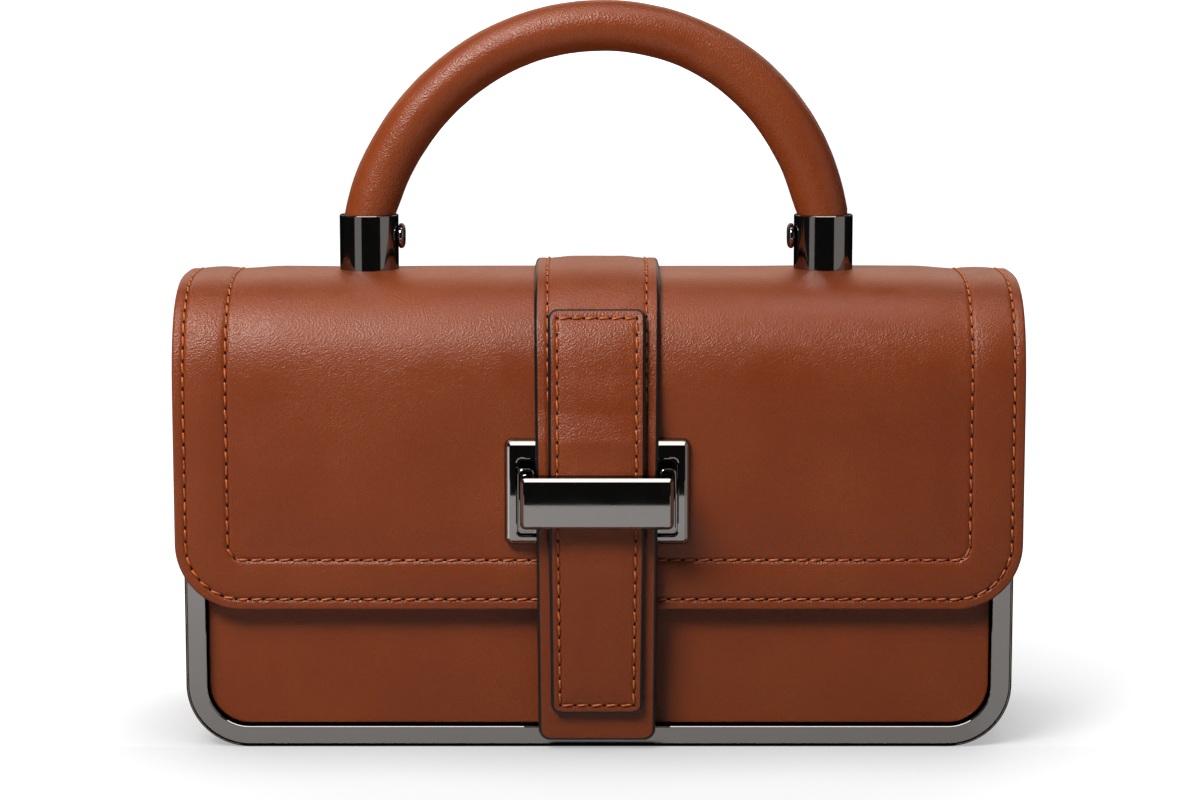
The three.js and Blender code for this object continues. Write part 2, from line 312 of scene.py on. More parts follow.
def roundedPath(halfWidth, start, end, startCorner, endCorner):
    # corners of a rounded rectangle's path in x and run, from the start's middle
    points = [(0.0, start)]
    for corner, cx, cr, first in (
        (startCorner, halfWidth - startCorner, start + startCorner, -90),
        (endCorner, halfWidth - endCorner, end - endCorner, 0),
    ):
        for i in range(13):
            angle = math.radians(first + 90 * i / 12)
            points.append((cx + corner * math.cos(angle), cr + corner * math.sin(angle)))
    points.append((0.0, end))
    left = [(-x, run) for x, run in reversed(points[1:-1])]
    return points + left + [points[0]]


def walk(path, pitch):
    # evenly spaced places along a path, with the way it runs there
    lengths = [math.dist(a, b) for a, b in zip(path, path[1:])]
    total = sum(lengths)
    count = max(1, round(total / pitch))
    places = []
    index, passed = 0, 0.0
    for i in range(count):
        wanted = total * (i + 0.5) / count
        while passed + lengths[index] < wanted:
            passed += lengths[index]
            index += 1
        a, b = path[index], path[index + 1]
        share = (wanted - passed) / lengths[index]
        spot = (a[0] + (b[0] - a[0]) * share, a[1] + (b[1] - a[1]) * share)
        way = ((b[0] - a[0]) / lengths[index], (b[1] - a[1]) / lengths[index])
        places.append((spot, way, total / count))
    return places


def stitchMatrix(spot, way, surface, reach, lift, slant=0.0):
    # a frame on the surface: X along the seam, Z out of the leather
    turned = (
        way[0] * math.cos(slant) - way[1] * math.sin(slant),
        way[0] * math.sin(slant) + way[1] * math.cos(slant),
    )
    here = surface(spot[0], spot[1], lift)
    ahead = surface(spot[0] + turned[0] * reach, spot[1] + turned[1] * reach, lift)
    behind = surface(spot[0] - turned[0] * reach, spot[1] - turned[1] * reach, lift)
    above = surface(spot[0], spot[1], lift + 1)
    along = (ahead - behind).normalized()
    out = (above - here).normalized()
    side = out.cross(along).normalized()
    out = along.cross(side)
    matrix = Matrix((along, side, out)).transposed().to_4x4()
    matrix.translation = (here * 2 + ahead + behind) / 4
    return matrix


def threadShape():
    # one stitch along X: round in section, with both ends sunk
    bm = bmesh.new()
    bmesh.ops.create_uvsphere(bm, u_segments=6, v_segments=8, radius=1)
    for v in bm.verts:
        along = math.sin(v.co.z * math.pi / 2)
        thick = max(1 - along * along, 0.0) ** 0.2 if abs(v.co.z) < 0.999 else 0.0
        around = math.atan2(v.co.y, v.co.x)
        v.co = Vector((
            along / 2, math.cos(around) * thick * thread["width"] / 2,
            math.sin(around) * thick * thread["height"] / 2 + thread["raised"] - thread["sunk"] * along ** 4,
        ))
    return bm


def holeShape():
    bm = bmesh.new()
    bmesh.ops.create_uvsphere(bm, u_segments=8, v_segments=4, radius=0.5)
    bm.transform(Matrix.Diagonal((thread["holeLength"], thread["holeWidth"], thread["holeHeight"], 1)))
    return bm


threadShapeMade, holeShapeMade = threadShape(), holeShape()
carrier = bpy.data.meshes.new("carrier")


def addCopy(bm, shape, matrix):
    copied = shape.copy()
    copied.transform(matrix)
    copied.to_mesh(carrier)
    copied.free()
    bm.from_mesh(carrier)


def stitchLine(bmThread, bmHole, path, surface, seed, lift):
    for i, (spot, way, step) in enumerate(walk(path, thread["pitch"])):
        wobble = noise.noise(Vector((i * 0.73, seed * 3.1, 0)))
        slant = math.radians(thread["slant"] * (1 + wobble))
        length = thread["length"] * step / thread["pitch"] * (1 + 0.06 * wobble)
        matrix = stitchMatrix(spot, way, surface, length * 0.4, lift, slant)
        addCopy(bmThread, threadShapeMade, matrix @ Matrix.Diagonal((length * mm, mm, mm, 1)))
        hole = (spot[0] + way[0] * step / 2, spot[1] + way[1] * step / 2)
        matrix = stitchMatrix(hole, way, surface, 0.3, lift)
        addCopy(bmHole, holeShapeMade, matrix @ Matrix.Diagonal((mm, mm, mm, 1)))


def buildStitches(word, lines, lift=thread["lift"]):
    bmThread, bmHole = bmesh.new(), bmesh.new()
    for path, surface, seed in lines:
        stitchLine(bmThread, bmHole, path, surface, seed, lift)
    makePiece(word + "_stitches", bmThread, [threadMaterial])
    # the needle holes are dark blobs of painted shade
    makePiece(word + "_needle_hole_shades", bmHole, [needleHoleShade])


# Loops of a rounded rectangle seen from the front, joined into a solid

def roundedLoop(bm, halfWidth, low, high, corner, depth, middleX, segments=6):
    verts = []
    for cx, cz, first in (
        (halfWidth - corner, low + corner, -90),
        (halfWidth - corner, high - corner, 0),
        (-halfWidth + corner, high - corner, 90),
        (-halfWidth + corner, low + corner, 180),
    ):
        for step in range(segments + 1):
            angle = math.radians(first + 90 * step / segments)
            verts.append(bm.verts.new((cx + corner * math.cos(angle), depth, cz + corner * math.sin(angle))))
    for v in verts:
        v.co.x += middleX
        v.co *= mm
    return verts


def loftedSolid(loops, bm=None):
    bm = bm or bmesh.new()
    made = [roundedLoop(bm, **loop) for loop in loops]
    for a, b in zip(made, made[1:]):
        for i in range(len(a)):
            bm.faces.new((a[i - 1], a[i], b[i], b[i - 1]))
    bm.faces.new(made[0])
    bm.faces.new(made[-1])
    bmesh.ops.recalc_face_normals(bm, faces=bm.faces[:])
    return bm


def crispEdges(piece, degrees=24):
    # flats keep flat normals beside the small facets that round them
    bm = bmesh.new()
    bm.from_mesh(piece.data)
    for edge in bm.edges:
        if len(edge.link_faces) == 2:
            small, broad = sorted(face.calc_area() for face in edge.link_faces)
            squares = [max(abs(c) for c in face.normal) > 0.9999 for face in edge.link_faces]
            angle = math.degrees(edge.calc_face_angle(0))
            edge.smooth = angle < 2 or (angle < degrees and broad < 5 * small and squares[0] == squares[1])
    bm.to_mesh(piece.data)
    bm.free()


def makeMetal(word, bm, material):
    crispEdges(makePiece(word + "_plated", bm, [material], [word]))


# Materials

leather = {
    "cloudSize": 38,
    "fineSize": 1.6,
    "cellTurn": math.radians(38),
    "cellSize": (0.66, 0.44, 1.0),
    "bendSize": 3.0,
    "bend": 0.0009,
    "poreSize": 0.45,
    "relief": 0.00018,
    "grain": 0.8,
}


def makeLeather(name, colour, deep, roughness):
    # Smooth calf leather, drum-dyed and lightly finished: a soft sheen, a fine
    # hair-cell grain of short slanting creases, and faintly clouded dye.
    look = leather
    material, tree = newMaterial(name)
    place = objectPlace(tree)
    flat = addNode(tree, "ShaderNodeUVMap", {"uv_map": "grain"}).outputs["UV"]
    cloud = addNoise(tree, place, look["cloudSize"], 4.0, 0.55).outputs["Fac"]
    fine = addNoise(tree, place, look["fineSize"], 3.0, 0.6).outputs["Fac"]
    tone = addNode(tree, "ShaderNodeMix", {"data_type": "FLOAT", 0: 0.25}, {2: cloud, 3: fine}).outputs[0]
    dye = addRamp(tree, tone, toLinear(deep), toLinear(colour), 0.3, 0.72)
    # long cells that climb to the right, bent a little
    bend = addNoise(tree, flat, look["bendSize"], 1.0).outputs["Color"]
    shifted = addNode(tree, "ShaderNodeMix", {"data_type": "VECTOR", 0: look["bend"]}, {4: flat, 5: bend})
    turn = {"vector_type": "TEXTURE", "Rotation": (0.0, 0.0, look["cellTurn"]), "Scale": look["cellSize"]}
    slanted = addNode(tree, "ShaderNodeMapping", turn, {"Vector": shifted.outputs[1]})
    cells = {"feature": "F1", "Scale": 1000.0, "Randomness": 1.0}
    creases = addNode(tree, "ShaderNodeTexVoronoi", cells, {"Vector": slanted.outputs[0]}).outputs["Distance"]
    pores = addNoise(tree, flat, look["poreSize"]).outputs["Fac"]
    relief = addNode(tree, "ShaderNodeMath", {"operation": "MULTIPLY_ADD", 1: 0.5}, {0: pores, 2: creases})
    # the grain is deeper in the dye's light clouds
    strength = addRange(tree, cloud, 0.35, 0.7, 0.5, 1.0)
    height = addNode(tree, "ShaderNodeMath", {"operation": "MULTIPLY"}, {0: relief.outputs[0], 1: strength})
    finishMaterial(
        tree, {"IOR": 1.5, "Specular IOR Level": 0.6, "Specular Tint": toLinear("#fff0e8")},
        {
            "Base Color": dye, "Roughness": addRange(tree, tone, 0.3, 0.7, roughness - 0.05, roughness + 0.07),
            "Normal": addBump(tree, height.outputs[0], look["grain"], look["relief"]),
        },
    )
    return material


def makeEdgePaint():
    # Acrylic edge paint, brushed on in coats and dried: near black and glossy
    # in a soft, slightly wavy way.
    material, tree = newMaterial("edge_paint")
    place = objectPlace(tree)
    waves = addNoise(tree, place, 2.4).outputs["Fac"]
    finishMaterial(
        tree, {"Roughness": 0.36, "IOR": 1.49, "Specular IOR Level": 0.35},
        {
            "Base Color": addRamp(tree, waves, toLinear("#060708"), toLinear("#0f1113")),
            "Normal": addBump(tree, waves, 0.25, 0.0001),
        },
    )
    return material


def makeThread():
    # Bonded polyester thread, orange-brown, with a satin twist.
    material, tree = newMaterial("polyester_thread")
    place = objectPlace(tree)
    shade = addNoise(tree, place, 1.1).outputs["Fac"]
    finishMaterial(
        tree, {"Roughness": 0.42, "IOR": 1.55},
        {
            "Base Color": addRamp(tree, shade, toLinear("#863b12"), toLinear("#cd6b2c"), 0.3, 0.7),
            "Normal": addBump(tree, shade, 0.4, 0.0001),
        },
    )
    return material


def makeNeedleHoleShade():
    # Painted shade: a dark blob on the leather stands for the shadowed inside of a needle hole.
    material, tree = newMaterial("needle_hole")
    place = objectPlace(tree)
    shade = addNoise(tree, place, 0.6).outputs["Fac"]
    colour = addRamp(tree, shade, toLinear("#120805"), toLinear("#2a120a"))
    finishMaterial(tree, {"Roughness": 0.9, "Specular IOR Level": 0.1}, {"Base Color": colour})
    return material


def makeGunmetal(name, hexColour, roughness):
    # Zinc casting, polished and plated with black nickel: a dark clear mirror
    # with a hardly visible polish haze.
    material, tree = newMaterial(name)
    place = objectPlace(tree)
    haze = addNoise(tree, place, 9, 3.0).outputs["Fac"]
    dark, light = ([c * share for c in toLinear(hexColour)[:3]] + [1] for share in (0.96, 1.04))
    finishMaterial(
        tree, {"Metallic": 1.0, "Specular Tint": toLinear("#8c8c8c")},
        {
            "Base Color": addRamp(tree, haze, dark, light),
            "Roughness": addRange(tree, haze, 0.3, 0.7, roughness * 0.75, roughness * 1.3),
        },
    )
    return material


bodyLeather = makeLeather("calf_leather_body", "#843a11", "#752e0c", 0.35)
strapLeather = makeLeather("calf_leather_strap", "#843a11", "#752e0c", 0.36)
handleLeather = makeLeather("calf_leather_handle", "#853b12", "#762f0c", 0.34)
edgePaint = makeEdgePaint()
threadMaterial = makeThread()
needleHoleShade = makeNeedleHoleShade()
gunmetal = makeGunmetal("black_nickel_plate", "#a19c98", 0.02)
turnedGunmetal = makeGunmetal("black_nickel_turned", "#9a9591", 0.075)
print("materials made")


# Flap

flap = {
    "halfWidth": 120.0,
    "start": 40.3,
    "end": lineEnd - 60.0,
    "startCorner": 19.0,
    "endCorner": 12.0,
    "thickness": 3.0,
    "edgeRadius": 0.95,
    "outerSeam": 3.2,
    "innerSeamSide": 15.1,
    "innerSeamEnd": 14.5,
    "innerSeamCorner": 4.5,
    "puff": 0.75,
    "borderPuff": 0.4,
    "grooveDepth": 0.5,
    "grooveWidth": 0.6,
    "puffReach": 13,
    "waveHeight": 0.3,
    "rippleHeight": 0.07,
    "puckerHeight": 0.10,
    "puckerPlace": -2.2,
}


flapEnds = (flap["start"], flap["end"], flap["startCorner"], flap["endCorner"])
flapCut = sheetCut([(0, flap["halfWidth"])], *flapEnds)
flapInner = sheetCut(
    [(0, flap["halfWidth"] - flap["innerSeamSide"])], flap["start"] + flap["innerSeamEnd"],
    flap["end"] - flap["innerSeamEnd"], flap["innerSeamCorner"], flap["innerSeamCorner"],
)["inside"]


def seamPull(x, run, seamDistance, width, seed):
    # the leather is pulled down at each stitch, most where the thread goes in
    sideways = abs(x) > flap["halfWidth"] - 17 and run > flap["start"] + 16
    t = run if sideways else x
    pull = 0.82 + 0.18 * math.cos(2 * math.pi * t / thread["pitch"] + seed)
    return flap["grooveDepth"] * bell(seamDistance, width) * pull


def flapSwell(x, run, d, inner):
    # broad waves, and the padding inside the inner seam
    f = flap
    waves = waver(x, run, 46, 34, 2.0) * f["waveHeight"] * smooth(0, 12, d)
    return waves + f["puff"] * (smooth(0, f["puffReach"], inner) - 0.85)


def flapTop(x, run, d):
    f = flap
    inner = flapInner(x, run)
    height = flapSwell(x, run, d, inner) + waver(x, run, 17, 15, 7.0) * f["rippleHeight"] * smooth(0, 12, d)
    if inner < 0:
        middle = (f["innerSeamSide"] - f["outerSeam"]) / 2
        height += f["borderPuff"] * max(0.0, 1 - ((d - f["outerSeam"] - middle) / middle) ** 2)
    height -= seamPull(x, run, d - f["outerSeam"], f["grooveWidth"], 0.0)
    height -= seamPull(x, run, inner, f["grooveWidth"] * 1.15, 1.0)
    # short puckers beside the inner seam
    height += f["puckerHeight"] * waver(x, run, 1.9, 2.6, 11.0) * bell(inner - f["puckerPlace"], 2.2)
    return height - roundEdge(d, f["edgeRadius"])


def flapBottom(x, run, d):
    return -flap["thickness"] + roundEdge(d, flap["edgeRadius"])


def smoothFlapSurface(x, run, lift):
    # the flap's face without its own puckers, for laying threads on
    height = flapSwell(x, run, flapCut["inside"](x, run), flapInner(x, run))
    return onLine(x, run, height - flap["grooveDepth"] * 0.8 + lift)


def buildFlap():
    f = flap
    half = spread([
        (0, 99, 2.25), (99, 102.6, 0.9), (102.6, 107.2, 0.3), (107.2, 113, 1.0),
        (113, 115.2, 0.5), (115.2, 118.7, 0.28), (118.7, 119.7, 0.2), (119.7, 120, 0.1),
    ])
    columns = mirrored(half)
    near = spread([
        (0, 0.5, 0.1), (0.5, 1.3, 0.2), (1.3, 4.4, 0.3), (4.4, 12.4, 0.9), (12.4, 16.8, 0.3), (16.8, 24, 1.0),
    ])
    start, end = f["start"], f["end"]
    runs = mergeRuns(
        [start + r for r in near], [end - r for r in near],
        [start + r for r in cornerRuns(f["startCorner"], 26)],
        [end - r for r in cornerRuns(f["endCorner"], 16)],
        spread([(start + 24, end - 24, 1.3)]),
        gap=0.09,
    )
    bm = bentSheet(flapCut, columns, runs, onLine, flapTop, flapBottom)
    piece = makePiece("flap_leather", bm, [bodyLeather], ["flap"])


def buildFlapStitches():
    f = flap
    outer = roundedPath(
        f["halfWidth"] - f["outerSeam"], f["start"] + f["outerSeam"], f["end"] - f["outerSeam"],
        f["startCorner"] - f["outerSeam"], f["endCorner"] - f["outerSeam"],
    )
    inner = roundedPath(
        f["halfWidth"] - f["innerSeamSide"], f["start"] + f["innerSeamEnd"], f["end"] - f["innerSeamEnd"],
        f["innerSeamCorner"], f["innerSeamCorner"],
    )
    buildStitches("flap", [(outer, smoothFlapSurface, 1), (inner, smoothFlapSurface, 2)])


buildFlap()
buildFlapStitches()
print("flap made")


# Straps. The wide one passes over the clasp plate, settles on the roll, and
# hangs free at its foot. The narrow one is sewn on it.

wideStrap = {
    "start": 2.8,
    "end": lineEnd - 72.0,
    "width": [(0.0, 16.6), (75.0, 17.1), (150.0, 17.95), (230.0, 17.4)],
    "corner": 3.4,
    "thickness": 2.6,
    "edgeRadius": 1.15,
    "paint": 0.88,
    "seam": 3.75,
    "seamStart": 60.0,
    "puff": 0.55,
    "groove": 0.42,
    "lift": [(2.8, -1.75), (59.7, 3.6), (89.8, 3.6), (98.0, 1.7), (107.5, 0.45), (115.0, 0.3)],
    "waveHeight": 0.05,
}

strapMiddle = -0.55     # the straps sit a little left, as the clasp does

narrowStrap = {
    "start": 11.4,
    "end": 124.4,
    "width": [(11.4, 12.95), (75.0, 13.6), (124.4, 13.75)],
    "corner": 2.6,
    "thickness": 2.2,
    "edgeRadius": 1.0,
    "paint": 0.88,
    "seam": 2.6,
    "puff": 0.35,
    "groove": 0.38,
    "gap": 0.3,
    "waveHeight": 0.05,
}


def onStrap(x, run, lift):
    return onLine(x + strapMiddle, run, lift)


def wideLift(run):
    return between(run, wideStrap["lift"])


def wideTop(x, run, d):
    s = wideStrap
    seam = between(run, s["width"]) - s["seam"] - abs(x)
    height = wideLift(run) + s["thickness"]
    height += s["puff"] * (smooth(0, 7, seam) - 0.75) * smooth(70, 100, run)
    pull = 0.8 + 0.2 * math.cos(2 * math.pi * run / thread["pitch"])
    height -= s["groove"] * bell(seam, 0.6) * pull * smooth(s["seamStart"], s["seamStart"] + 4, run)
    height += s["waveHeight"] * waver(x, run, 6, 9, 4.0)
    return height - roundEdge(d, s["edgeRadius"])


def wideBottom(x, run, d):
    return wideLift(run) + roundEdge(d, wideStrap["edgeRadius"])


def narrowTop(x, run, d):
    s = narrowStrap
    base = wideLift(run) + wideStrap["thickness"] + s["gap"]
    seam = d - s["seam"]
    sideways = run - s["start"] > 4 and s["end"] - run > 4
    pull = 0.75 + 0.25 * math.cos(2 * math.pi * (run if sideways else x) / thread["pitch"])
    height = base + s["thickness"] + s["puff"] * smooth(0, 6, seam)
    height -= s["groove"] * bell(seam, 0.55) * pull
    height += s["waveHeight"] * waver(x, run, 6, 9, 9.0)
    return height - roundEdge(d, s["edgeRadius"])


def narrowBottom(x, run, d):
    # the two straps are sewn together, so the narrow one's back follows the
    # wide one's puffed face just clear of it
    s = narrowStrap
    wide = wideTop(x, run, 5.0) + 0.04
    top = narrowTop(x, run, 5.0)
    return min(wide + roundEdge(d, s["edgeRadius"]) * 0.6, top - 1.1)


def strapRuns(strap, step):
    near = spread([(0, 0.4, 0.1), (0.4, 1.2, 0.2), (1.2, 4.6, 0.35)]) + cornerRuns(strap["corner"], 12)
    start, end = strap["start"], strap["end"]
    middle = spread([(start + 4.6, end - 4.6, step)])
    return mergeRuns([start + r for r in near], [end - r for r in near], middle, gap=0.07)


def buildStraps():
    wideHalf = [
        (0, 11, 1.1), (11, 13, 0.5), (13, 15.2, 0.3), (15.2, 16.2, 0.25), (16.2, 17.1, 0.15), (17.1, 17.4, 0.1),
    ]
    narrowHalf = [(0, 9, 1.0), (9, 11.8, 0.3), (11.8, 12.9, 0.2), (12.9, 13.4, 0.13), (13.4, 13.6, 0.07)]
    for word, strap, half, step, top, bottom in (
        ("wide_strap", wideStrap, wideHalf, 1.1, wideTop, wideBottom),
        ("narrow_strap", narrowStrap, narrowHalf, 0.9, narrowTop, narrowBottom),
    ):
        cut = sheetCut(strap["width"], strap["start"], strap["end"], strap["corner"], strap["corner"])
        bm = bentSheet(cut, mirrored(spread(half)), strapRuns(strap, step), onStrap, top, bottom)
        paintEdge(bm, strap["paint"])
        makePiece(word + "_leather", bm, [strapLeather, edgePaint], [word])


def paintEdge(bm, reach):
    edge = bm.verts.layers.float["edge_mm"]
    for face in bm.faces:
        if sum(v[edge] for v in face.verts) / len(face.verts) < reach:
            face.material_index = 1


def wideSurface(x, run, lift):
    height = wideLift(run) + wideStrap["thickness"] - wideStrap["groove"] * 0.8 - wideStrap["puff"] * 0.75
    return onStrap(x, run, height + lift)


def narrowSurface(x, run, lift):
    s = narrowStrap
    height = wideLift(run) + wideStrap["thickness"] + s["gap"] + s["thickness"] - s["groove"] * 0.8
    return onStrap(x, run, height + lift)


def buildStrapStitches():
    lines = []
    s = wideStrap
    for side in (-1, 1):
        runs = spread([(s["seamStart"] + 40, s["end"] - s["seam"], 2.0)])
        path = [(side * (between(run, s["width"]) - s["seam"]), run) for run in runs]
        lines.append((path, wideSurface, 3 + side))
    end = s["end"] - s["seam"]
    reach = between(end, s["width"]) - s["seam"]
    lines.append(([(-reach, end), (reach, end)], wideSurface, 6))
    s = narrowStrap
    runs = spread([(s["start"] + s["seam"], s["end"] - s["seam"], 2.0)])
    right = [(between(run, s["width"]) - s["seam"], run) for run in runs]
    left = [(-x, run) for x, run in reversed(right)]
    sides = (right, [right[-1], left[0]], left, [left[-1], right[0]])
    lines += [(path, narrowSurface, seed) for seed, path in enumerate(sides, 7)]
    buildStitches("strap", lines)


buildStraps()
buildStrapStitches()
print("straps made")


# Body: front and back panels, and the gusset that joins them

body = {
    "frontFace": -32.0,
    "backFace": 35.2,
    "panelThickness": 2.4,
    "frontHalf": 111.45,
    "frontLow": 6.3,
    "frontCorner": 11.7,
    "backHalf": 117.15,
    "backCorner": 17.4,
    "top": 95.9,
    "gussetFront": -24.9,
    "gussetBack": 32.5,
    "gussetThickness": 2.2,
    "overFrame": 95.2,
    "overPanel": 96.2,
    "underFlap": -35.2,
    "gussetSwell": 0.9,
    "backSeam": 3.0,
    "seamStart": 58.0,
}


def panelColumns(half):
    return mirrored(spread([
        (0, half - 20, 3.0), (half - 20, half - 5, 1.5), (half - 5, half - 1.2, 0.6), (half - 1.2, half, 0.2),
    ]))


def panelRuns(low, high, corner):
    near = spread([(0, 1.2, 0.2), (1.2, 5, 0.6), (5, 20, 1.5)])
    return mergeRuns(
        [low + r for r in near], [low + r for r in cornerRuns(corner, 18)],
        spread([(low + 20, high - 1.2, 2.4), (high - 1.2, high, 0.2)]), gap=0.1,
    )


def buildPanel(word, half, corner, low, place, top):
    b = body
    cut = sheetCut([(0, half)], low, b["top"], corner, 1.5)

    def bottom(x, run, d):
        return -b["panelThickness"] + roundEdge(d, 0.5)

    bm = bentSheet(cut, panelColumns(half), panelRuns(low, b["top"], corner), place, top, bottom)
    makePiece(word + "_leather", bm, [bodyLeather], [word])


def frontTop(x, run, d):
    return 0.35 * smooth(0, 16, d) + 0.12 * waver(x, run, 40, 30, 5.0) - roundEdge(d, 0.5)


def frontPlace(x, run, height):
    return Vector((x, body["frontFace"] - height, run)) * mm


def backTop(x, run, d):
    soft = 0.5 * smooth(0, 22, d) - 0.3 * bell(d - body["backSeam"], 0.6) + 0.15 * waver(x, run, 40, 30, 8.0)
    return soft * smooth(0, 5, body["top"] - run) - roundEdge(d, 1.1)


def backPlace(x, run, height):
    return Vector((x, body["backFace"] + min(height, 0.25), run)) * mm


def buildPanels():
    b = body
    buildPanel("front_panel", b["frontHalf"], b["frontCorner"], b["frontLow"], frontPlace, frontTop)
    buildPanel("back_panel", b["backHalf"], b["backCorner"], 0.0, backPlace, backTop)
    seam = b["backSeam"]
    side, corner = b["backHalf"] - seam, b["backCorner"] - seam
    path = [(-side, b["seamStart"]), (-side, corner + seam)]
    for i in range(13):
        angle = math.radians(180 + 90 * i / 12)
        path.append((-side + corner + corner * math.cos(angle), seam + corner + corner * math.sin(angle)))
    path += [(-x, run) for x, run in reversed(path)]
    buildStitches("back_panel", [(path, lambda x, run, lift: backPlace(x, run, lift - 0.05), 12)], 0.1)


def archReach(height):
    # half depth of the space under the flap's roll, at a height
    clear = flap["thickness"] + roll["clearance"]
    for _, point, facing in rollRows[:len(rollRows) // 2 + 1]:
        inner = point - facing * clear
        if inner.y >= height:
            return -inner.x
    return 0.0


def buildGusset():
    b = body
    half, corner = b["backHalf"], b["backCorner"]
    archTop = roll["start"] + roll["rise"] - flap["thickness"] - roll["clearance"]
    steps = [b["overFrame"] + 0.05, b["overPanel"] - 0.05, b["overPanel"] + 0.05]
    arch = [(97, 118, 1.5), (118, 127, 0.8), (127, archTop - 0.5, 0.35), (archTop - 0.5, archTop - 0.02, 0.12)]
    heights = mergeRuns(spread([(corner, b["overFrame"] - 0.05, 3.0)]), steps, spread(arch), gap=0.02)
    bm = bmesh.new()
    upright = [("side", z) for z in reversed(heights)]
    turn = [("corner", math.radians(90 * i / 20)) for i in range(1, 20)]
    base = [("base", x) for x in spread([(-(half - corner), half - corner, 4.0)])]
    rows = [("left", *row) for row in upright] + [("left", *row) for row in turn]
    rows += [("middle", *row) for row in base]
    rows += [("right", *row) for row in reversed(turn)] + [("right", *row) for row in reversed(upright)]
    count = 22
    bmesh.ops.create_grid(bm, x_segments=count, y_segments=len(rows) - 1, size=1)
    bmesh.ops.solidify(bm, geom=bm.faces[:], thickness=1)
    levels = [v.co.z for v in bm.verts]
    middleLevel = (min(levels) + max(levels)) / 2
    flat = []
    for v in bm.verts:
        side, kind, value = rows[round((v.co.y + 1) / 2 * (len(rows) - 1))]
        u = (v.co.x + 1) / 2
        u = (1 - math.cos(math.pi * u)) / 2
        height = value if kind == "side" else 0.0
        front, back = b["gussetFront"], b["gussetBack"]
        if height > b["overFrame"]:
            front = b["underFlap"] if height < b["overPanel"] else -archReach(height)
        if height > b["overPanel"]:
            back = archReach(height)
        y = front + (back - front) * u
        edgeGap = min(y - front, back - y)
        outer = v.co.z > middleLevel
        depth = roundEdge(edgeGap, 0.9) if outer else b["gussetThickness"] - roundEdge(edgeGap, 0.9)
        if outer and kind != "base":
            lift = smooth(0, 40, height if kind == "side" else 0)
            swellGap = max(min(y - b["gussetFront"], b["gussetBack"] - y), 0.0)
            swell = b["gussetSwell"] * (1 + 0.2 * waver(y, height, 20, 25, 3.0))
            depth += swell * lift * smooth(0, 20, swellGap)
        sign = -1 if side == "left" else 1
        if kind == "side":
            v.co = Vector((sign * (half - depth), y, value)) * mm
        elif kind == "corner":
            reach = corner - depth
            v.co = Vector((sign * (half - corner + reach * math.cos(value)), y, corner - reach * math.sin(value))) * mm
        else:
            v.co = Vector((value, y, depth)) * mm
        turned = math.pi / 2 - (value if kind == "corner" else 0)
        length = value if kind == "base" else corner * turned + height
        flat.append((y * mm, length * mm))
    mapGrain(bm, flat)
    bmesh.ops.recalc_face_normals(bm, faces=bm.faces[:])
    for edge in bm.edges:
        # the steps beside the frame and the back panel stay crisp
        edge.smooth = edge.calc_face_angle(0) < math.radians(35)
    makePiece("gusset_leather", bm, [bodyLeather], ["gusset"])


buildPanels()
buildGusset()
print("body made")


# Metal frame: a rounded bar section, drawn down one arm, round the corner and
# along the base, and mirrored

metalFrame = {
    "half": 117.75,
    "face": 6.0,
    "front": -35.2,
    "depth": 10.0,
    "top": 94.9,
    "corner": 18.0,
    "outerEdge": (0.5, 0.68),
    "innerEdge": (0.26, 0.27),
    "edgeRun": 0.1,
    "edgeSoft": 0.04,
}


def drawnLoop(bm, edges, delta=None, centre=None, angle=0.0, steps=1):
    if delta is not None:
        made = bmesh.ops.extrude_edge_only(bm, edges=edges)["geom"]
        verts = [g for g in made if isinstance(g, bmesh.types.BMVert)]
        bmesh.ops.translate(bm, verts=verts, vec=delta)
        return [g for g in made if isinstance(g, bmesh.types.BMEdge) and all(v in verts for v in g.verts)]
    verts = list({v for e in edges for v in e.verts})
    made = bmesh.ops.spin(
        bm, geom=verts + edges, cent=centre, axis=(0, 1, 0), angle=angle, steps=steps, use_merge=False,
    )
    return [g for g in made["geom_last"] if isinstance(g, bmesh.types.BMEdge)]


def buildMetalFrame():
    f = metalFrame
    bm = bmesh.new()
    low, high = -f["half"], -f["half"] + f["face"]
    back = f["front"] + f["depth"]
    run, soft = f["edgeRun"], f["edgeSoft"]
    # going round the section: x, y
    section = []
    for x, y, dx, dy in ((low, f["front"], 1, 1), (low, back, 1, -1), (high, back, -1, -1), (high, f["front"], -1, 1)):
        c, d = f["outerEdge"] if dx > 0 else f["innerEdge"]
        corner = [
            (x, y + dy * (d + run)), (x + dx * soft, y + dy * (d - soft)),
            (x + dx * (c - soft), y + dy * soft), (x + dx * (c + run), y),
        ]
        section += corner if dx * dy > 0 else corner[::-1]
    verts = [bm.verts.new(Vector((x, y, f["top"])) * mm) for x, y in section]
    edges = [bm.edges.new(pair) for pair in zip(verts, verts[1:] + verts[:1])]
    first = edges
    edges = drawnLoop(bm, edges, delta=Vector((0, 0, f["corner"] - f["top"])) * mm)
    centre = Vector((f["corner"] - f["half"], 0, f["corner"])) * mm
    edges = drawnLoop(bm, edges, centre=centre, angle=-math.pi / 2, steps=28)
    edges = drawnLoop(bm, edges, delta=Vector((f["half"] - f["corner"], 0, 0)) * mm)
    bmesh.ops.contextual_create(bm, geom=first)
    bmesh.ops.mirror(bm, geom=bm.verts[:] + bm.edges[:] + bm.faces[:], axis="X", merge_dist=0.01 * mm)
    bmesh.ops.remove_doubles(bm, verts=bm.verts[:], dist=0.005 * mm)
    bmesh.ops.recalc_face_normals(bm, faces=bm.faces[:])
    makeMetal("metal_frame", bm, gunmetal)


buildMetalFrame()
print("frame made")


# Clasp: a plate with a pocket, and the bar on its two posts

plateShape = {"front": -41.8, "middleX": -0.45}

